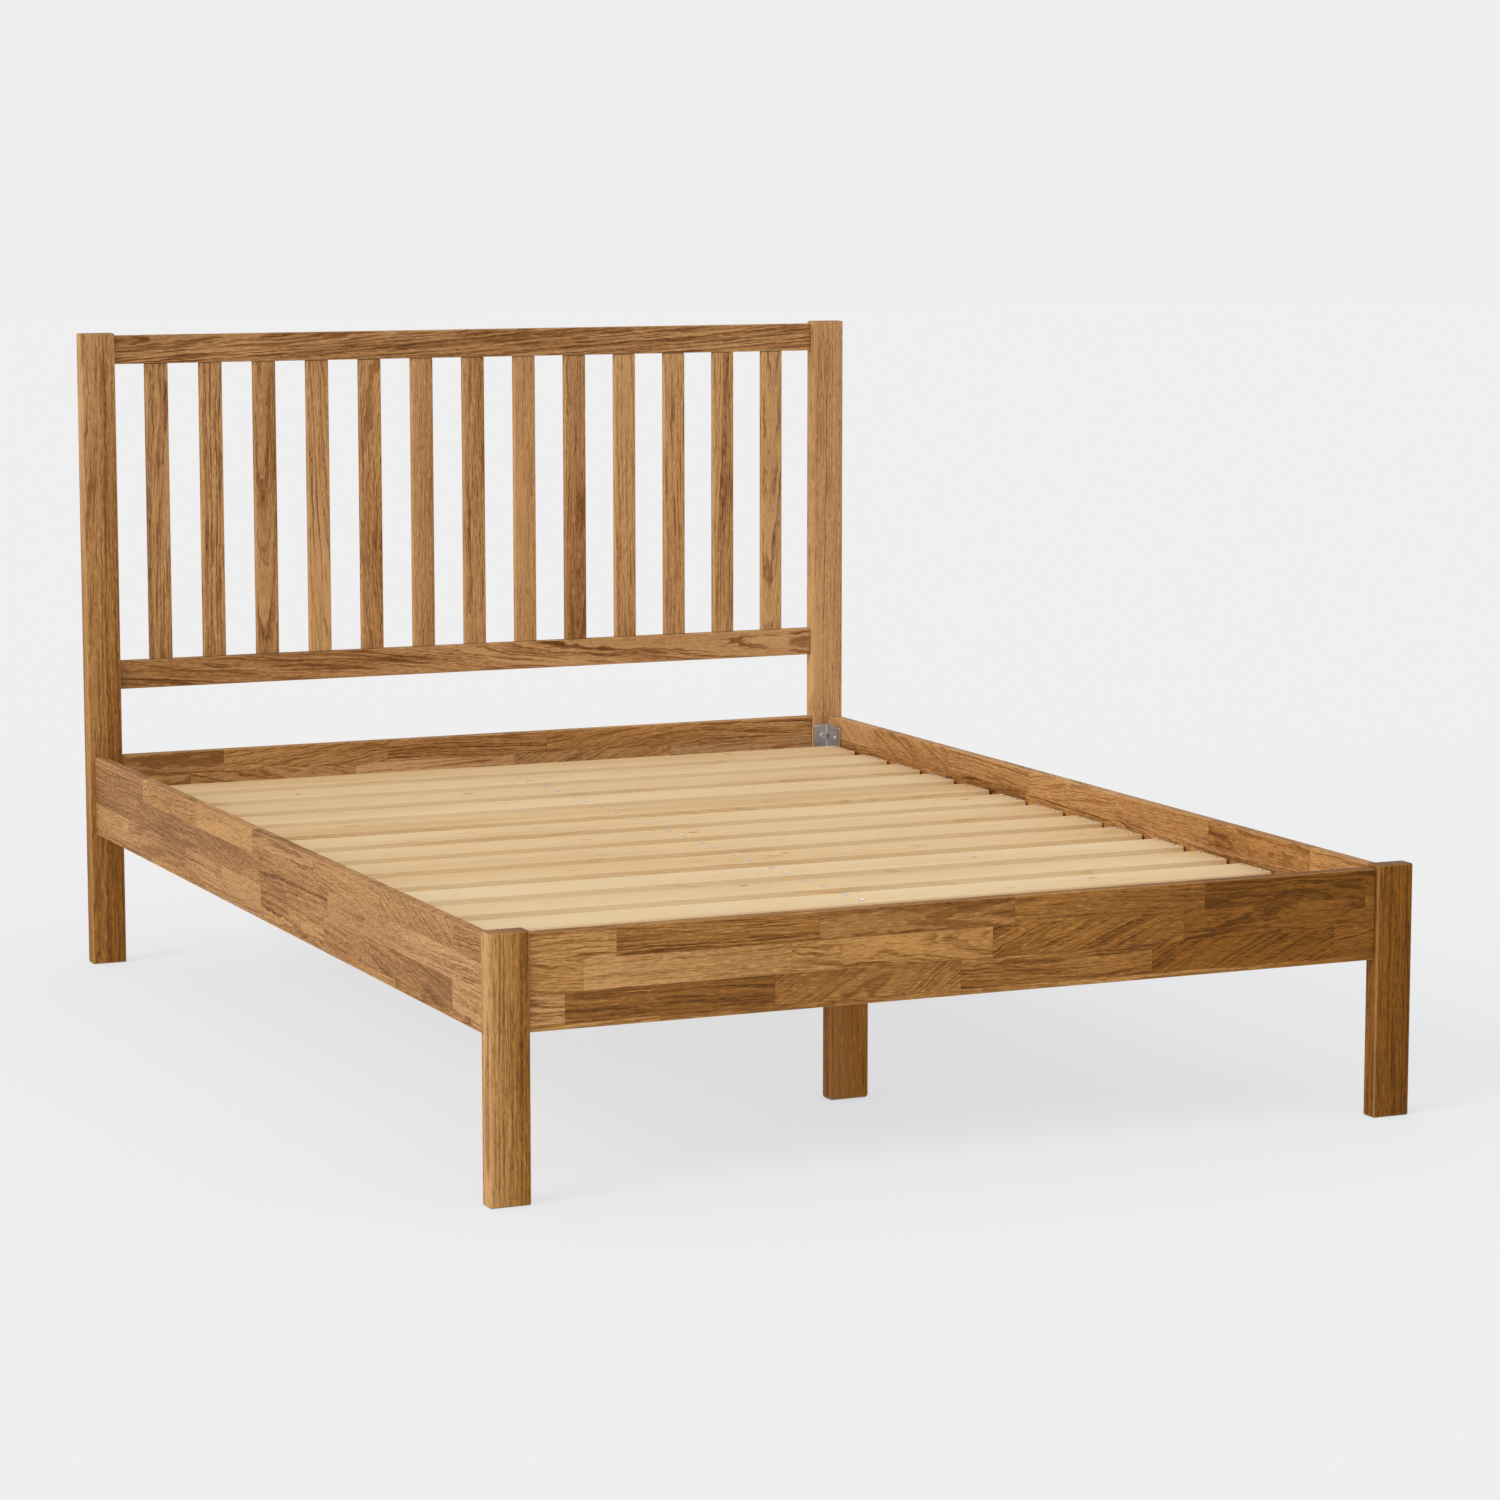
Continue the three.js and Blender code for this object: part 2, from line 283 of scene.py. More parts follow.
def woodFinish(name, look):
    # Growth rings are the distance from a leaning pith line, pushed about by noise, so every face,
    # edge and end of a board shows the cut through the same log.
    material, paint, shader = newFinish(name)
    grain = paint.attribute("grain")
    along, across, through = grain.parts()
    place = paint.vector("ADD", grain, paint.attribute("shift"))
    pithAcross, pithThrough, pithLean = paint.attribute("pith").parts()
    tone, warmth, slant = paint.attribute("look").parts()
    knotAlong, knotAcross, knotSize = paint.attribute("knot").parts()
    wander, width, show = paint.attribute("figure").parts()
    arris, endGrain, drift = paint.attribute("edges").parts()

    sway = paint.noise(place, pace["sway"], 1, 1).parts()
    flow = paint.noise(place, pace["flow"], 1, 1).parts()
    sideways = across + ((sway[0] - 0.5) * look["wobble"] + (flow[0] - 0.5) * look["ripple"]) * wander
    inwards = through + ((sway[1] - 0.5) * look["wobble"] + (flow[1] - 0.5) * look["ripple"]) * wander

    # near a knot the rings part and close round it, in an oval that is longer along the board
    toKnotAlong = (along - knotAlong) * 0.55
    toKnotAcross = across - knotAcross
    toKnot = paint.maths("SQRT", toKnotAlong * toKnotAlong + toKnotAcross * toKnotAcross)
    nearKnot = paint.maths("EXPONENT", (toKnot / knotSize) ** 2 * -1)
    sideways = knotAcross + (sideways - knotAcross) * (1 - nearKnot * 0.8)
    knotCore = 1 - (toKnot / knotSize).rise(0.12, 0.42)

    aside = sideways - pithAcross + slant * along
    below = inwards - pithThrough + pithLean * along
    fromPith = paint.maths("SQRT", aside * aside + below * below)
    uneven = paint.node("ShaderNodeTexNoise", {"noise_dimensions": "1D"},
                        {"W": fromPith * 85 + pithAcross * 900, "Scale": 1, "Detail": 0})
    year = fromPith / (width * look["ring"]) + uneven * 1.6
    yearNumber = paint.maths("FLOOR", year)
    season = paint.maths("FRACT", year)
    luck = paint.node("ShaderNodeTexWhiteNoise", {"noise_dimensions": "1D"}, {"W": yearNumber})
    fade = paint.noise(place, pace["fade"], 1).rise(0.30, 0.65) * 0.7 + 0.3
    # spring growth is dark and open, and each year has its own share of it
    early = (1 - season) ** 2.4 * season.rise(0, 0.12) * (0.2 + luck * 0.8) * fade * show

    cloud = paint.noise(place, pace["cloud"], 1)
    cut = paint.node("ShaderNodeCombineXYZ", None, {0: place.parts()[0], 1: fromPith, 2: pithAcross * 40})
    streak = paint.noise(cut, pace["streak"], 2)
    line = paint.noise(cut, pace["line"], 1).rise(0.52, 0.64)
    fibre = paint.noise(place, pace["fibre"], 1)
    tick = paint.noise(place, pace["tick"], 1).rise(0.53, 0.65)
    pore = (paint.noise(place, pace["pore"], 0).rise(0.52, 0.68) + tick) * (0.35 + early)
    fleck = paint.noise(place, pace["fleck"], 1).rise(0.54, 0.68)

    shade = (look["base"] + (tone + drift) * 0.5 + (cloud - 0.5) * 0.7
             + (streak - 0.5) * show * look["streakDepth"] + (fibre - 0.5) * 0.18
             + fleck * look["fleckDepth"] - early * look["ringDepth"]
             - line * show * look["lineDepth"] - pore * look["poreDepth"] - knotCore * 0.6)
    stops = [(0, look["dark"]), (0.5, look["middle"]), (1, look["light"])]
    colour = paint.node("ShaderNodeValToRGB", {"stops": stops}, {"Fac": shade.limited()})
    # drift also warms the colour where it darkens it, so the painted shade that drift carries on some posts
    # is deeper in colour
    warm = paint.blend(warmth - drift * 0.8, (*look["pale"], 1), (*look["deep"], 1))
    colour = paint.blend(1.0, colour, warm, "MULTIPLY")

    # arrises are paler, partly rubbed wear and partly a painted highlight; end grain and glue lines darker
    colour = paint.blend(arris * surface["arrisPaleAndHighlight"], colour, (*look["light"], 1))
    colour = paint.blend(endGrain * surface["endDark"], colour, (*look["dark"], 1))
    middle = paint.attribute("middle")
    half = paint.attribute("half")
    offset = paint.vector("ABSOLUTE", paint.vector("SUBTRACT", grain, middle))
    gapAlong, gapAcross, _ = paint.vector("SUBTRACT", half, offset).parts()
    gap = paint.maths("MINIMUM", gapAlong, gapAcross)
    seam = 1 - gap.rise(surface["seamCore"], surface["seamWidth"])
    colour = paint.blend(seam * surface["seamDark"], colour, (*look["dark"], 1))

    feed(colour, shader, "Base Color")
    feed(look["gloss"] + pore * 0.18 + (cloud - 0.5) * 0.12 - arris * 0.06, shader, "Roughness")
    height = (fibre - 0.5) * 0.25 - pore - early * 0.35 - seam * 0.8
    bumpValues = {"Strength": surface["bumpStrength"], "Distance": surface["bumpDepth"],
                  "Height": height}
    feed(paint.node("ShaderNodeBump", None, bumpValues), shader, "Normal")
    shader.inputs["Specular IOR Level"].default_value = surface["sheen"]
    return material


def zincFinish(name, gloss, grey):
    # Zinc plate: a mottled blue-grey film with cloudy patches and fine scuffs.
    material, paint, shader = newFinish(name)
    place = paint.node("ShaderNodeTexCoord", None, None, 3)
    cloud = paint.noise(place, (70, 70, 70), 2)
    mottle = paint.noise(place, (420, 420, 420), 2)
    scuff = paint.noise(place, (2600, 2600, 300), 1).rise(0.55, 0.7)
    shade = (0.45 + (cloud - 0.5) * 0.9 + (mottle - 0.5) * 0.5).limited()
    dull = tuple(grey * part for part in (0.78, 0.80, 0.84))
    bright = tuple(grey * part for part in (1.08, 1.09, 1.10))
    colour = paint.node("ShaderNodeValToRGB", {"stops": [(0, dull), (1, bright)]}, {"Fac": shade})
    feed(colour, shader, "Base Color")
    feed(gloss + (mottle - 0.5) * 0.22 + scuff * 0.10, shader, "Roughness")
    bumpValues = {"Strength": 0.25, "Distance": 0.0001, "Height": mottle + scuff * 0.5}
    feed(paint.node("ShaderNodeBump", None, bumpValues), shader, "Normal")
    shader.inputs["Metallic"].default_value = 1
    return material


finishes = {
    "oak_post": woodFinish("oak_post", oakFinish),
    "oak_headboard_rail": woodFinish("oak_headboard_rail", oakFinish),
    "oak_headboard_slat": woodFinish("oak_headboard_slat", oakFinish),
    "oak_stave_board": woodFinish("oak_stave_board", oakFinish),
    "oak_centre_leg": woodFinish("oak_centre_leg", oakFinish),
    "pine_batten": woodFinish("pine_batten", pineFinish),
    "pine_base_slat": woodFinish("pine_base_slat", pineFinish),
    "zinc_plate": zincFinish("zinc_plate", gloss=0.34, grey=0.62),
    "zinc_bolt": zincFinish("zinc_bolt", gloss=0.26, grey=0.68),
}
print("finishes made:", len(finishes))


def closedShell(grid, flip=False):
    # Quads between neighbouring rings of a (rings, points, 3) grid, and a flat cap on each end ring.
    rings, points = grid.shape[:2]
    index = np.arange(rings * points).reshape(rings, points)
    onward = np.roll(index, -1, 1)
    quads = np.stack([index[:-1], onward[:-1], onward[1:], index[1:]], -1).reshape(-1, 4)
    caps = [index[0, ::-1], index[-1]]
    if flip:
        quads = quads[:, ::-1]
        caps = [cap[::-1] for cap in caps]
    return grid.reshape(-1, 3), quads, caps


arcSteps = 4      # faces round every rounded edge
endEase = 0.85    # how far a board's ends come in, as a share of its arris


def outline(corners, radii, ease, splits=None):
    # A ring round a counter-clockwise outline: at each corner an arc turns from one edge's normal to
    # the next. A ring point drawn in by d is place + d * pull, so edges with ease 1 come in by d.
    # splits adds points along an edge, at shares of its length.
    corners = np.array(corners, float)
    ease = np.array(ease, float)
    edge = np.roll(corners, -1, 0) - corners
    after = np.stack([edge[:, 1], -edge[:, 0]], 1) / np.linalg.norm(edge, axis=1)[:, None]
    before = np.roll(after, 1, 0)
    easeBefore = np.roll(ease, 1)
    turn = before[:, 0] * after[:, 1] - before[:, 1] * after[:, 0]
    along = (before * after).sum(1)
    start = np.arctan2(before[:, 1], before[:, 0])
    part = np.linspace(0, 1, arcSteps + 1)
    angle = start[:, None] + np.arctan2(turn, along)[:, None] * part
    normal = np.stack([np.cos(angle), np.sin(angle)], -1)
    spread = ((before + after) / (1 + along)[:, None])[:, None]
    bulge = (np.sign(turn) * radii)[:, None, None]
    shrink = np.minimum(easeBefore, ease)[:, None, None]
    slide = np.stack([easeBefore * after[:, 1] - ease * before[:, 1],
                      before[:, 0] * ease - after[:, 0] * easeBefore], 1) / turn[:, None]
    place = corners[:, None] - bulge * (spread - normal)
    pull = -slide[:, None] + shrink * (spread - normal)
    rounding = np.broadcast_to(np.sin(np.pi * part), angle.shape)
    rows = []
    for i in range(len(corners)):
        rows.append((place[i], pull[i], normal[i], rounding[i]))
        stops = np.array((splits or {}).get(i, []), float)[:, None]
        if len(stops):
            level = corners[i] + edge[i] * stops
            facing = np.repeat(after[i][None], len(stops), 0)
            rows.append((level, -ease[i] * facing, facing, np.zeros(len(stops))))
    return [np.concatenate(column) for column in zip(*rows)]


def carried(ring, low, high, rounding, stops=()):
    # The ring carried from low to high. Near each end it comes in along a quarter circle:
    # in by e(1 - cos t) at a distance e(1 - sin t) from the end, for t from 90 degrees to 0.
    place, pull, normal, arc = ring
    turn = np.linspace(math.pi / 2, 0, arcSteps + 1)
    endGap = rounding * (1 - np.sin(turn))
    drawn = rounding * (1 - np.cos(turn))
    flat = np.zeros(len(stops))
    along = np.concatenate([low + endGap, stops, high - endGap[::-1]])
    inset = np.concatenate([drawn, flat, drawn[::-1]])
    lean = np.concatenate([-np.sin(turn), flat, np.sin(turn)[::-1]])
    section = place[None] + inset[:, None, None] * pull[None]
    heights = np.broadcast_to(along[:, None, None], (len(along), len(place), 1))
    grid = np.concatenate([section, heights], -1)

    # a ring point that isn't drawn in keeps its normal level
    isDrawn = (np.linalg.norm(pull, axis=1) > 1e-6)[None]
    sideways = np.where(isDrawn, np.sqrt(1 - lean[:, None] ** 2), 1)
    endways = np.where(isDrawn, lean[:, None], 0)
    normals = np.concatenate([sideways[..., None] * normal[None], endways[..., None]], -1)
    # the arris mask, strongest mid-arc: it carries rubbed wear and a painted highlight into the finish
    wearAndHighlight = np.maximum(arc[None], np.abs(2 * lean * np.sqrt(1 - lean ** 2))[:, None])
    ends = np.broadcast_to((lean ** 2)[:, None], wearAndHighlight.shape)
    return grid, normals, wearAndHighlight, ends


def aimed(grid, centre, facing):
    # Turns a grid made upright at the origin so that its +Z points along facing, and moves it.
    ahead = np.array(facing, float)
    helper = np.array([0, 0, 1.0]) if abs(ahead[2]) < 0.9 else np.array([1.0, 0, 0])
    side = np.cross(helper, ahead)
    side /= np.linalg.norm(side)
    return grid @ np.stack([side, np.cross(ahead, side), ahead]) + np.array(centre)


def turned(profile, steps):
    # A (radius, height) profile spun round Z.
    profile = np.array(profile, float)
    angle = np.arange(steps) * 2 * np.pi / steps
    radius, height = profile[:, :1], profile[:, 1:]
    return np.stack([radius * np.cos(angle), radius * np.sin(angle),
                     np.broadcast_to(height, (len(profile), steps))], -1)


def hexagon(across, height, flatRadius, base):
    # A six-sided block whose radius is apothem / cos(angle from the flat's middle). A cone of 30
    # degrees trims its top corners, so each top corner is lower by (radius - flatRadius) * tan 30.
    steps = 36
    angle = np.arange(steps) * 2 * np.pi / steps
    apothem = across / 2
    side = apothem / np.cos((angle + np.pi / 6) % (np.pi / 3) - np.pi / 6)
    drop = np.maximum(side - flatRadius, 0) * math.tan(math.pi / 6)
    level = np.ones(steps)
    radius = np.stack([side, side, level * min(flatRadius, apothem * 0.97), level * apothem * 0.6])
    top = np.stack([level * base, base + height - drop, level * (base + height),
                    level * (base + height * 0.94)])
    return np.stack([radius * np.cos(angle), radius * np.sin(angle), top], -1)


def screwHead(radius, rise):
    # A low domed head with a cross recess: on the four arms the inner rings drop to the recess floor.
    quadrant = np.radians([-13, 13, 45])
    angle = (np.arange(4)[:, None] * np.pi / 2 + quadrant).ravel()
    onArm = np.tile([1, 1, 0], 4)
    share = np.array([1.0, 1.0, 0.88, 0.62, 0.56, 0.24, 0.10])
    level = np.array([-0.1, 0.45, 0.85, 1.0, 1.0, 1.0, 0.2])
    sunk = np.array([0, 0, 0, 0, 1, 1, 0])
    top = level[:, None] - 0.8 * sunk[:, None] * onArm
    spoke = radius * share[:, None]
    return np.stack([spoke * np.cos(angle), spoke * np.sin(angle), rise * top], -1)


def makeMesh(name, shells):
    verts, faces, count = [], [], 0
    for points, quads, caps in shells:
        verts.append(points)
        faces += (quads + count).tolist() + [(cap + count).tolist() for cap in caps]
        count += len(points)
    mesh = bpy.data.meshes.new(name)
    mesh.from_pydata(np.concatenate(verts).tolist(), [], faces)
    mesh.update()
    return mesh


def shadeByNormals(mesh, normals):
    # A face corner takes the surface's own normal, or its face's where the two part by over 40 degrees.
    corner = np.zeros(len(mesh.loops), int)
    mesh.loops.foreach_get("vertex_index", corner)
    facing = np.zeros(len(mesh.polygons) * 3)
    mesh.polygons.foreach_get("normal", facing)
    size = np.zeros(len(mesh.polygons), int)
    mesh.polygons.foreach_get("loop_total", size)
    facing = np.repeat(facing.reshape(-1, 3), size, 0)
    own = normals[corner]
    close = (own * facing).sum(1, keepdims=True) > math.cos(math.radians(40))
    mesh.polygons.foreach_set("use_smooth", np.ones(len(mesh.polygons), bool))
    mesh.normals_split_custom_set(np.where(close, own, facing).tolist())


def finishPiece(name, mesh, slot, nodes):
    mesh.materials.append(finishes[slot])
    piece = bpy.data.objects.new(name, mesh)
    scene.collection.objects.link(piece)
    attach(piece, "root")
    if nodes:
        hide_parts(*nodes)
    return piece


# How a board or stave may be cut from the log. Each pair is a range to draw from: how far the pith
# lies to one side and below (metres), how the log leans and slants along the board, how much the
# rings wander, how wide they are and how strongly they show (shares of the finish's own values).
cuts = {
    "straight": {"side": (0.07, 0.13), "below": (0.02, 0.05), "lean": (0.004, 0.010),
                 "slant": (-0.012, 0.012), "wander": (0.35, 0.55), "width": (0.6, 0.8),
                 "show": (0.7, 0.9)},
    "sweeping": {"side": (0.03, 0.06), "below": (0.03, 0.05), "lean": (0.02, 0.04),
                 "slant": (-0.06, 0.06), "wander": (0.5, 0.8), "width": (0.9, 1.2),
                 "show": (0.9, 1.2)},
    "rift": {"side": (0.04, 0.09), "below": (0.02, 0.06), "lean": (0.01, 0.03),
             "slant": (-0.03, 0.03), "wander": (0.6, 0.9), "width": (0.7, 1.0), "show": (0.8, 1.1)},
    "fine": {"side": (0.05, 0.10), "below": (0.01, 0.04), "lean": (0.01, 0.02),
             "slant": (-0.02, 0.02), "wander": (0.4, 0.7), "width": (0.4, 0.6), "show": (0.5, 0.7)},
    "flat": {"side": (0.0, 0.012), "below": (0.014, 0.030), "lean": (0.03, 0.05),
             "slant": (-0.04, 0.04), "wander": (0.7, 1.0), "width": (0.6, 0.8), "show": (0.9, 1.1)},
    "slant": {"side": (0.03, 0.06), "below": (0.02, 0.03), "lean": (0.05, 0.15),
              "slant": (-0.60, -0.30), "wander": (0.9, 1.3), "width": (0.8, 1.1),
              "show": (0.7, 1.0)},
    "curly": {"side": (0.015, 0.035), "below": (0.015, 0.03), "lean": (0.03, 0.08),
              "slant": (-0.15, 0.15), "wander": (1.2, 1.7), "width": (0.5, 0.8), "show": (0.7, 1.0)},
}


def setAttribute(mesh, name, domain, values):
    layer = mesh.attributes.new(name, "FLOAT_VECTOR", domain)
    layer.data.foreach_set("vector", np.ascontiguousarray(values, np.float32).ravel())


def drawLooks(rng, kinds, tones, warmth):
    # One row of random looks for each stave, from the ranges of its cut.
    count = len(kinds)

    def draw(key):
        low, high = np.array([cuts[kind][key] for kind in kinds]).T
        return rng.uniform(low, high)

    def either(key):
        return draw(key) * rng.choice([-1, 1], count)

    return {
        "pith": np.stack([either("side"), either("below"), either("lean")], 1),
        "look": np.stack([tones, warmth - tones * 0.5 + rng.uniform(-0.1, 0.1, count), draw("slant")], 1),
        "figure": np.stack([draw("wander"), draw("width"), draw("show")], 1),
        "shift": rng.uniform(0, 20, (count, 3)),
        "knot": np.tile([9.0, 9.0, 0.01], (count, 1)),
    }


def paintBoard(mesh, name, local, wearAndHighlight, ends, centre, half, rows, warmth, knots=(), drift=(0, 0), show=1.0):
    # Gives a board the places and looks its finish reads. local and centre are places of the points
    # and of the faces from the board's middle: along, across, through. half is half its size.
    # rows lists the glued-up rows from the low side: upper limit across, joints along, tones, cuts.
    # The tone changes by drift from the middle to the far end and to the far edge; on some posts this
    # paints shade and light.
    setAttribute(mesh, "grain", "POINT", local)
    edges = np.stack([wearAndHighlight.ravel(), ends.ravel(), (local / half)[:, :2] @ np.array(drift)], 1)
    setAttribute(mesh, "edges", "POINT", edges)
    limits = np.array([row[0] for row in rows[:-1]])
    row = np.searchsorted(limits, centre[:, 1])
    first = np.cumsum([0] + [len(r[1]) + 1 for r in rows])
    stave = np.zeros(len(row), int)
    middles, halves = [], []
    beyond = 1.0    # the outer edges of a board are no glue lines
    low = -half[1] - beyond
    for i, (upper, joints, _, _) in enumerate(rows):
        mine = row == i
        stave[mine] = first[i] + np.searchsorted(np.array(joints, float), centre[mine, 0])
        high = upper if i < len(rows) - 1 else half[1] + beyond
        stops = np.concatenate([[-half[0] - beyond], joints, [half[0] + beyond]])
        for start, end in zip(stops[:-1], stops[1:]):
            middles.append([(start + end) / 2, (low + high) / 2, 0])
            halves.append([(end - start) / 2, (high - low) / 2, beyond])
        low = upper
    kinds = [kind for r in rows for kind in r[3]]
    looks = drawLooks(dice(name), kinds, np.concatenate([r[2] for r in rows]), warmth)
    looks["figure"][:, 2] *= show
    for which, knotAlong, knotAcross, size in knots:
        looks["knot"][which] = (knotAlong, knotAcross, size)
    looks["middle"] = np.array(middles)
    looks["half"] = np.array(halves)
    for look, values in looks.items():
        setAttribute(mesh, look, "FACE", values[stave])


def facePlaces(mesh):
    centre = np.zeros(len(mesh.polygons) * 3)
    mesh.polygons.foreach_get("center", centre)
    return centre.reshape(-1, 3)


def addBoard(node, slot, axes, box, arris, cut="rift", tone=0.0, warmth=0.5, rows=None, knots=(),
             drift=(0, 0), show=1.0):
    # A rectangle with rounded arrises carried along the board. axes says which of X, Y, Z it runs
    # along, is wide across and is thin through.
    low, high = np.array(box[0]), np.array(box[1])
    middle = (low + high) / 2
    half = ((high - low) / 2)[list(axes)]
    length, wide, thick = half
    rows = rows or [(wide, (), (tone,), (cut,))]
    share = (np.array([row[0] for row in rows[:-1]]) + wide) / (2 * wide)
    stops = np.unique(np.concatenate([np.array(row[1], float) for row in rows]))
    corners = [(-wide, -thick), (wide, -thick), (wide, thick), (-wide, thick)]
    ring = outline(corners, np.full(4, arris), [1, 1, 1, 1], splits={0: share, 2: 1 - share[::-1]})
    grid, normals, wearAndHighlight, ends = carried(ring, -length, length, arris * endEase, stops)
    order = (axes[1], axes[2], axes[0])
    world, facing = turnedTo(grid, normals, order, middle)
    mesh = makeMesh(node, [closedShell(world, isMirrored(order))])
    shadeByNormals(mesh, facing.reshape(-1, 3))
    centre = (facePlaces(mesh) - middle)[:, list(axes)]
    local = grid[..., [2, 0, 1]].reshape(-1, 3)
    paintBoard(mesh, node, local, wearAndHighlight, ends, centre, half, rows, warmth, knots, drift, show)
    suffix = ".pine" if slot.startswith("pine") else ".oak"
    return finishPiece(node + suffix, mesh, slot, [node])


def turnedTo(grid, normals, order, middle):
    # Lays a grid's own X, Y, Z along the world axes that order names, about middle.
    world, facing = np.empty_like(grid), np.empty_like(normals)
    world[..., list(order)] = grid
    facing[..., list(order)] = normals
    return world + middle, facing


def isMirrored(order):
    return tuple(order) not in [(0, 1, 2), (1, 2, 0), (2, 0, 1)]


def boxOf(node, **limits):
    # a node's box with some sides replaced: low and high corners as lists
    low, high = (list(corner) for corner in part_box(node))
    for side, value in limits.items():
        corner = low if side.startswith("low") else high
        corner["XYZ".index(side[-1])] = value
    return low, high


upright = (2, 0, 1)      # along Z, wide across X
crossways = (0, 2, 1)    # along X, wide across Z
lengthways = (1, 2, 0)   # along Y, wide across Z
lying = (0, 1, 2)        # along X, wide across Y

posts = {
    "arris": 0.0035,
    "show": 0.8,
    "looks": {    # cut, tone, warmth, and how the tone drifts towards the top and the right
        # head_post_left's drift towards the top is painted shade: darker towards the floor, under the bed.
        # foot_leg_left's drift across makes its left, lit side paler: partly its own tone, partly painted
        # light.
        "head_post_left": ("sweeping", -0.37, 0.10, (0.42, -0.12)),
        "head_post_right": ("straight", 0.30, 0.0, (0.05, -0.12)),
        "foot_leg_left": ("straight", -0.04, 0.36, (0.0, -0.34)),
        "foot_leg_right": ("straight", -0.82, 0.60, (0.0, -0.24)),
    },
}
for name, (cut, tone, warmth, drift) in posts["looks"].items():
    addBoard(name, "oak_post", upright, boxOf(name), posts["arris"], cut, tone, warmth, drift=drift,
             show=posts["show"])
print("posts and legs made")

headboard = {
    "railArris": 0.002,
    "slatArris": 0.0015,
    "warmth": 0.0,
    "railTone": 0.02,
    "railDrift": (0.13, 0),
    "slatDrift": (0, -0.10),
    "slatShow": 0.85,
    "slats": (    # tone and cut, from the left
        (0.00, "sweeping"), (0.15, "sweeping"), (0.18, "flat"), (0.37, "sweeping"), (0.02, "curly"),
        (0.12, "fine"), (0.17, "rift"), (0.23, "fine"), (0.10, "flat"), (0.16, "rift"),
        (0.20, "sweeping"), (0.26, "rift"), (0.37, "flat"),
    ),
}
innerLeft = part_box("head_post_left")[1].x + fit
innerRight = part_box("head_post_right")[0].x - fit
for name in ("headboard_top_rail", "headboard_lower_rail"):
    span = boxOf(name, lowX=innerLeft, highX=innerRight)
    addBoard(name, "oak_headboard_rail", crossways, span, headboard["railArris"], "sweeping",
             headboard["railTone"], headboard["warmth"], drift=headboard["railDrift"])
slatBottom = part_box("headboard_lower_rail")[1].z + fit
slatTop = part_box("headboard_top_rail")[0].z - fit
for i, (tone, cut) in enumerate(headboard["slats"]):
    name = f"headboard_slat_{i + 1:02d}"
    span = boxOf(name, lowZ=slatBottom, highZ=slatTop)
    addBoard(name, "oak_headboard_slat", upright, span, headboard["slatArris"], cut, tone,
             headboard["warmth"], drift=headboard["slatDrift"], show=headboard["slatShow"])
print("headboard made")

# Each row of a stave board, from the bottom: height, joints from the board's middle, tones, cuts.
staveBoards = {
    "arris": 0.002,
    "warmth": 0.2,
    "show": 0.9,
    "rowHeights": (0.0135, 0.0415, 0.042),      # the top row takes the rest
    "staveLength": 0.304,                       # in the boards whose joints are drawn at random
    "shortestStave": 0.03,
    "firstJoint": (0.15, 0.95),                 # shares of a stave
    "toneSpread": (0.02, 0.16),                 # mean and deviation
    "cutWeights": {"rift": 0.3, "fine": 0.15, "flat": 0.25, "slant": 0.15, "curly": 0.15},
    "foot_rail": {
        "warmth": 0.42,
        "rowHeights": (0.0085, 0.0425, 0.0435),
        "joints": ((-0.470, -0.165, 0.140, 0.445),
                   (-0.608, -0.299, -0.0145, 0.290, 0.591),
                   (-0.582, -0.274, 0.0355, 0.341, 0.6425),
                   (-0.533, -0.2315, 0.0695, 0.375)),
        "drift": (-0.16, 0),
        "tones": ((-0.01, -0.21, -0.11, -0.11, -0.31),
                  (0.05, -0.45, -0.33, -0.16, -0.69, -0.56),
                  (-0.29, 0.15, -0.07, -0.45, -0.66, -0.26),
                  (0.01, -0.39, -0.16, -0.29, -0.61)),
        "cuts": (("rift", "rift", "fine", "rift", "fine"),
                 ("rift", "rift", "slant", "curly", "slant", "curly"),
                 ("curly", "fine", "curly", "slant", "curly", "fine"),
                 ("curly", "flat", "rift", "fine", "flat")),
        "knots": ((14, 0.015, 0.012, 0.009), (16, 0.410, 0.012, 0.018)),
    },
    "side_rail_left": {
        "warmth": 0.12,
        "show": 0.75,
        "drift": (-0.07, 0),
        "joints": ((-0.899, -0.595, -0.290, 0.015, 0.320, 0.625),
                   (-0.828, -0.277, 0.028, 0.230, 0.431, 0.763),
                   (-0.624, -0.295, 0.034, 0.363, 0.691),
                   (-0.834, -0.529, -0.230, 0.069, 0.370, 0.672)),
        "tones": ((0.03, -0.27, -0.12, -0.02, -0.12, -0.02, -0.12),
                  (0.03, -0.15, -0.09, -0.07, -0.07, 0.01, 0.01),
                  (0.03, -0.01, -0.05, -0.11, -0.03, -0.03),
                  (-0.07, -0.21, -0.07, -0.15, -0.02, -0.11, -0.13)),
        "cuts": (("rift", "rift", "fine", "rift", "rift", "fine", "rift"),
                 ("rift", "curly", "rift", "fine", "rift", "rift", "fine"),
                 ("rift", "fine", "rift", "curly", "rift", "flat"),
                 ("rift", "slant", "curly", "flat", "fine", "curly", "rift")),
    },
}


def regularRows(name, length):
    # Rows of staves all one length, each row starting at its own place.
    rng = dice(name + " rows")
    stave = staveBoards["staveLength"]
    joints, tones, kinds = [], [], []
    for _ in range(4):
        first = -length / 2 + rng.uniform(*staveBoards["firstJoint"]) * stave
        places = np.arange(first, length / 2 - staveBoards["shortestStave"], stave)
        joints.append(places)
        tones.append(rng.normal(*staveBoards["toneSpread"], len(places) + 1))
        names, weights = zip(*staveBoards["cutWeights"].items())
        kinds.append(rng.choice(names, len(places) + 1, p=weights))
    return {"joints": joints, "tones": tones, "cuts": kinds}


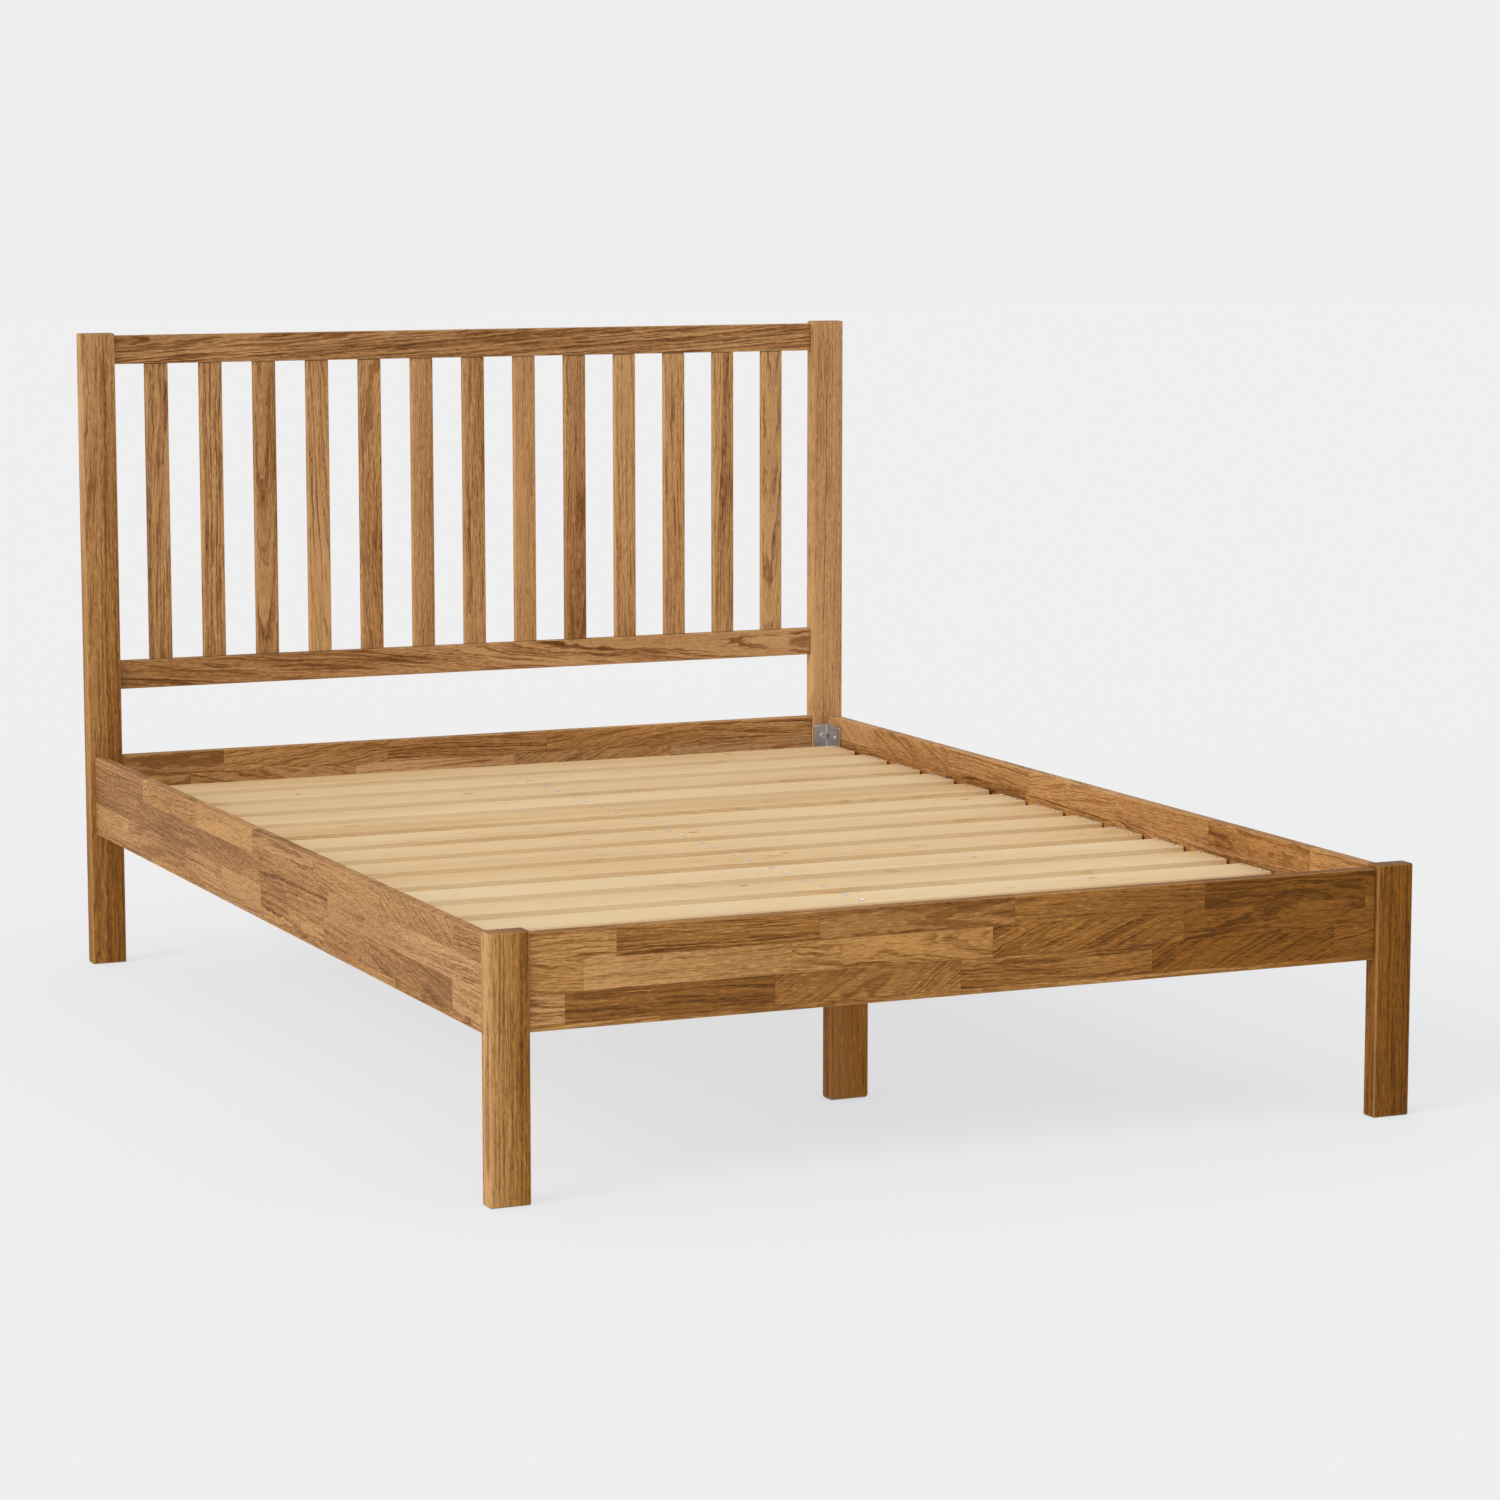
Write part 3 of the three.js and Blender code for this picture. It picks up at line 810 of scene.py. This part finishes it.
def addStaveBoard(name, axes, box):
    along, across, _ = axes
    layout = staveBoards.get(name) or regularRows(name, box[1][along] - box[0][along])
    wide = (box[1][across] - box[0][across]) / 2
    heights = layout.get("rowHeights", staveBoards["rowHeights"])
    limits = list(np.cumsum(heights) - wide) + [wide]
    rows = list(zip(limits, layout["joints"], layout["tones"], layout["cuts"]))
    addBoard(name, "oak_stave_board", axes, box, staveBoards["arris"], rows=rows,
             warmth=layout.get("warmth", staveBoards["warmth"]), knots=layout.get("knots", ()),
             drift=layout.get("drift", (0, 0)), show=layout.get("show", staveBoards["show"]))


addStaveBoard("foot_rail", crossways, boxOf("foot_rail", lowX=innerLeft, highX=innerRight))
addStaveBoard("head_cross_rail", crossways, boxOf("head_cross_rail", lowX=innerLeft, highX=innerRight))
for name in ("side_rail_left", "side_rail_right"):
    addStaveBoard(name, lengthways, boxOf(name))
print("stave boards made")

slattedBase = {
    "arris": 0.0015,
    "slatCount": 14,
    "warmth": 0.3,
    "battenTone": -0.1,
    "slatToneSpread": 0.12,
    "knotChance": 0.8,
    "knotReach": (0.6, 0.03),       # farthest from the slat's middle, along and across
    "knotSize": (0.012, 0.020),
}
for name in ("ledger_left", "ledger_right", "centre_rail"):
    addBoard(name, "pine_batten", lengthways, boxOf(name), slattedBase["arris"], "rift",
             slattedBase["battenTone"], slattedBase["warmth"])
for i in range(slattedBase["slatCount"]):
    name = f"base_slat_{i + 1:02d}"
    rng = dice(name + " knots")
    along, across = slattedBase["knotReach"]
    knot = (0, rng.uniform(-along, along), rng.uniform(-across, across),
            rng.uniform(*slattedBase["knotSize"]))
    knots = [knot] if rng.random() < slattedBase["knotChance"] else []
    addBoard(name, "pine_base_slat", lying, boxOf(name), slattedBase["arris"], "flat",
             rng.normal(0, slattedBase["slatToneSpread"]), slattedBase["warmth"], knots=knots)
print("slatted base made")

centreLeg = {
    "arris": 0.005,
    "sawnArris": 0.0006,     # edges of the notch, left as the saw cut them
    "tone": -0.78,
    "warmth": 0.9,
}


def addCentreLeg(name):
    # An upright L, notched at the top for the centre rail, carried through its thickness along Y.
    low, high = (np.array(corner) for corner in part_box(name))
    middle = (low + high) / 2
    wide, thick, tall = (high - low) / 2
    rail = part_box("centre_rail")
    cheek = rail[1].x + fit - middle[0]
    shoulder = rail[0].z - fit - middle[2]
    corners = [(-wide, -tall), (wide, -tall), (wide, tall), (cheek, tall), (cheek, shoulder),
               (-wide, shoulder)]
    arris, sawn = centreLeg["arris"], centreLeg["sawnArris"]
    sharp = sawn / arris
    ring = outline(corners, np.array([arris, arris, arris, sawn, sawn, sawn]),
                   [1, 1, 1, sharp, sharp, 1])
    grid, normals, wearAndHighlight, _ = carried(ring, -thick, thick, arris * endEase)
    order = (0, 2, 1)
    world, facing = turnedTo(grid, normals, order, middle)
    mesh = makeMesh(name, [closedShell(world, isMirrored(order))])
    shadeByNormals(mesh, facing.reshape(-1, 3))
    axes = list(upright)
    local = (world - middle).reshape(-1, 3)[:, axes]
    ends = np.abs(facing[..., 2]) ** 4
    centre = (facePlaces(mesh) - middle)[:, axes]
    half = np.array([tall, wide, thick])
    rows = [(wide, (), (centreLeg["tone"],), ("fine",))]
    paintBoard(mesh, name, local, wearAndHighlight, ends, centre, half, rows, centreLeg["warmth"])
    finishPiece(name + ".oak", mesh, "oak_centre_leg", [name])


addCentreLeg("centre_leg_foot")
addCentreLeg("centre_leg_head")
print("centre legs made")


def addFitting(name, slot, shells, nodes=()):
    mesh = makeMesh(name, shells)
    mesh.polygons.foreach_set("use_smooth", np.ones(len(mesh.polygons), bool))
    mesh.set_sharp_from_angle(angle=math.radians(32))
    return finishPiece(name, mesh, slot, nodes)


def plateOutline(corners, radii, ease):
    # Turns a clockwise outline round, so that its faces point outwards.
    corners = np.array(corners, float)
    onward = np.roll(corners, -1, 0)
    area = (corners[:, 0] * onward[:, 1] - onward[:, 0] * corners[:, 1]).sum()
    if area < 0:
        corners, radii, ease = corners[::-1], radii[::-1], ease[-2::-1] + ease[-1:]
    return outline(corners, np.array(radii), ease)


def addPlatePiece(name, slot, rings, nodes):
    # Each ring is a bent plate's edge-on outline, carried up from low to high.
    shells, facings = [], []
    for ring, low, high, rounding in rings:
        grid, normals, _, _ = carried(ring, low, high, rounding)
        shells.append(closedShell(grid))
        facings.append(normals.reshape(-1, 3))
    mesh = makeMesh(name, shells)
    shadeByNormals(mesh, np.concatenate(facings))
    return finishPiece(name, mesh, slot, nodes)


plates = {
    "thick": 0.003,
    "bendInside": 0.0025,
    "bendOutside": 0.0052,
    "edge": 0.0004,
    "cornerRadius": 0.006,
    "hangerFlange": 0.020,
}


def addBracket(corner):
    # An L seen from above: one wing on the post, the other on the side rail. Only the wings' free
    # edges ease, so the plate's corners are rounded and its faces stay flat.
    name = "corner_bracket_" + corner
    low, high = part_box(name)
    side = 1 if corner.endswith("right") else -1
    end = 1 if corner.startswith("head") else -1
    cornerX, cornerY = (high.x if side > 0 else low.x), (high.y if end > 0 else low.y)
    wing, reach, thick = high.x - low.x, high.y - low.y, plates["thick"]
    local = [(0, 0), (wing, 0), (wing, thick), (thick, thick), (thick, reach), (0, reach)]
    corners = [(cornerX - side * x, cornerY - end * y) for x, y in local]
    edge = plates["edge"]
    radii = [plates["bendOutside"], edge, edge, plates["bendInside"], edge, edge]
    ring = plateOutline(corners, radii, [0, 1, 0, 0, 1, 0])
    rings = [(ring, low.z, high.z, plates["cornerRadius"])]
    addPlatePiece(name + ".zinc", "zinc_plate", rings, [name])


def addHanger(name, end):
    # A stirrup seen from above: a back plate on the rail and two cheeks, with a floor between them.
    low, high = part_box(name)
    face = high.y if end > 0 else low.y
    thick, reach = plates["thick"], high.y - low.y
    outer = high.x
    cheek = outer - plates["hangerFlange"]
    inner = cheek - thick
    half = [(outer, 0), (outer, thick), (cheek, thick), (cheek, reach), (inner, reach), (inner, thick)]
    local = half + [(-x, y) for x, y in half[::-1]]
    corners = [(x, face - end * y) for x, y in local]
    edge, bend = plates["edge"], plates["bendInside"]
    radii = [edge, edge, bend, edge, edge, edge]
    ease = [1, 0, 0, 1, 0, 0, 0, 1, 0, 0, 1, 0]
    ring = plateOutline(corners, radii + radii[::-1], ease)
    floorCorners = [(-inner, thick), (inner, thick), (inner, reach), (-inner, reach)]
    floorRing = plateOutline([(x, face - end * y) for x, y in floorCorners], [edge] * 4, [1] * 4)
    rings = [(ring, low.z, high.z, plates["cornerRadius"]),
             (floorRing, low.z, low.z + thick, edge * 0.8)]
    addPlatePiece(name + ".zinc", "zinc_plate", rings, [name])


bolts = {
    "headAcross": 0.010,
    "headHeight": 0.004,
    "headFlat": 0.0047,      # radius of the flat on top, inside the trimmed corners
    "washerRadius": 0.0058,
    "washerThick": 0.0012,
    "shank": 0.003,
    "throughShank": 0.004,
    "nutAcross": 0.013,
    "nutHeight": 0.0065,
    "nutFlat": 0.0062,
    "throughWasher": 0.0085,
    "domeRadius": 0.0095,
    "domeRise": 0.004,
    "threadPitch": 0.00125,
    "threadRoot": 0.86,      # shares of the shank's radius
    "threadTip": 0.72,
    "plainTip": 0.8,
    "tipLength": 0.0006,
    "overlap": 0.0002,       # how far a shank runs into its head
}


def washer(radius, low, thick):
    soft = thick * 0.2
    return turned([(radius - soft, low), (radius, low + soft), (radius, low + thick - soft),
                   (radius - soft, low + thick)], 32)


def addCornerBolt(name, end):
    # Head and washer on the bracket, shank in the post. Made upright, then aimed along the bed.
    low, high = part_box(name)
    tip = low.y if end > 0 else high.y
    stand = bolts["washerThick"] + bolts["headHeight"]
    centre = ((low.x + high.x) / 2, tip + end * stand, (low.z + high.z) / 2)
    shank, depth = bolts["shank"], high.y - low.y - stand
    pieces = [
        washer(bolts["washerRadius"], 0, bolts["washerThick"]),
        hexagon(bolts["headAcross"], bolts["headHeight"], bolts["headFlat"], bolts["washerThick"]),
        turned([(shank * bolts["plainTip"], -depth), (shank, -depth + bolts["tipLength"]),
                (shank, bolts["overlap"])], 20),
    ]
    shells = [closedShell(aimed(grid, centre, (0, -end, 0))) for grid in pieces]
    addFitting(name + ".zinc", "zinc_bolt", shells, [name])


def addThroughBolt(name, leg):
    # A domed head on one side of the centre rail, washer, nut and thread end on the cheek's side.
    low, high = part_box(name)
    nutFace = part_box(leg)[1].x + fit
    headFace = low.x + bolts["domeRise"]
    angle = np.linspace(0.12, 1, 6) * math.pi / 2
    dome = np.stack([bolts["domeRadius"] * np.sin(angle), headFace - bolts["domeRise"] * np.cos(angle)], 1)
    nutLow = nutFace + bolts["washerThick"]
    shank, pitch = bolts["throughShank"], bolts["threadPitch"]
    turns = np.arange(nutLow, high.x - pitch / 2, pitch / 2)
    ridge = np.where(np.arange(len(turns)) % 2, shank * bolts["threadRoot"], shank)
    start, tip = (shank, headFace - bolts["overlap"]), (shank * bolts["threadTip"], high.x)
    thread = [start] + list(zip(ridge, turns)) + [tip]
    pieces = [
        turned(list(dome) + [(bolts["domeRadius"], headFace + 0.0003)], 32),
        turned(thread, 20),
        washer(bolts["throughWasher"], nutFace, bolts["washerThick"]),
        hexagon(bolts["nutAcross"], bolts["nutHeight"], bolts["nutFlat"], nutLow),
    ]
    centre = (0, (low.y + high.y) / 2, (low.z + high.z) / 2)
    shells = [closedShell(aimed(grid, centre, (1, 0, 0))) for grid in pieces]
    addFitting(name + ".zinc", "zinc_bolt", shells, [name])


for corner in ("foot_left", "foot_right", "head_left", "head_right"):
    addBracket(corner)
    for level in ("lower", "upper"):
        addCornerBolt(f"corner_bolt_{corner}_{level}", 1 if corner.startswith("head") else -1)
addHanger("centre_hanger_foot", -1)
addHanger("centre_hanger_head", 1)
addThroughBolt("centre_leg_bolt_foot", "centre_leg_foot")
addThroughBolt("centre_leg_bolt_head", "centre_leg_head")

screws = {
    "radius": 0.0040,
    "rise": 0.0016,
    "slatSpread": 0.027,     # from a slat's middle line to each of its two screws
    "slatEnd": 0.010,        # from the slat's end
    "ledgerCount": 8,
    "ledgerEnd": 0.060,
    "bracketReach": 0.040,
    "bracketRise": 0.033,
    "hangerInset": 0.010,
    "hangerRise": 0.015,
}


def addScrews(name, places):
    # places lists where each head sits and which way it faces; each is turned by its own amount
    rng = dice(name)
    head = screwHead(screws["radius"], screws["rise"])
    shells = []
    for centre, facing in places:
        angle = rng.uniform(0, math.pi / 2)
        turn = np.array([[math.cos(angle), math.sin(angle), 0],
                         [-math.sin(angle), math.cos(angle), 0], [0, 0, 1]])
        shells.append(closedShell(aimed(head @ turn, centre, facing)))
    addFitting(name, "zinc_bolt", shells)


places = []
for i in range(slattedBase["slatCount"]):
    low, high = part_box(f"base_slat_{i + 1:02d}")
    for x in (low.x + screws["slatEnd"], 0, high.x - screws["slatEnd"]):
        for step in (-1, 1):
            y = (low.y + high.y) / 2 + step * screws["slatSpread"]
            places.append(((x, y, high.z), (0, 0, 1)))
addScrews("slat_screws.zinc", places)

places = []
for name, side in (("ledger_left", -1), ("ledger_right", 1)):
    low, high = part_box(name)
    face = low.x if side > 0 else high.x
    for y in np.linspace(low.y + screws["ledgerEnd"], high.y - screws["ledgerEnd"], screws["ledgerCount"]):
        places.append(((face, y, (low.z + high.z) / 2), (-side, 0, 0)))
addScrews("ledger_screws.zinc", places)

places = []
for corner in ("foot_left", "foot_right", "head_left", "head_right"):
    low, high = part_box("corner_bracket_" + corner)
    side = 1 if corner.endswith("right") else -1
    end = 1 if corner.startswith("head") else -1
    face = (high.x if side > 0 else low.x) - side * plates["thick"]
    y = (high.y if end > 0 else low.y) - end * screws["bracketReach"]
    for step in (-1, 1):
        z = (low.z + high.z) / 2 + step * screws["bracketRise"]
        places.append(((face, y, z), (-side, 0, 0)))
addScrews("bracket_screws.zinc", places)

places = []
for name, end in (("centre_hanger_foot", -1), ("centre_hanger_head", 1)):
    low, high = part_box(name)
    face = (high.y if end > 0 else low.y) - end * plates["thick"]
    for side in (-1, 1):
        x = side * (high.x - screws["hangerInset"])
        for z in (low.z + screws["hangerRise"], high.z - screws["hangerRise"]):
            places.append(((x, face, z), (0, -end, 0)))
addScrews("hanger_screws.zinc", places)
print("steel fittings made")
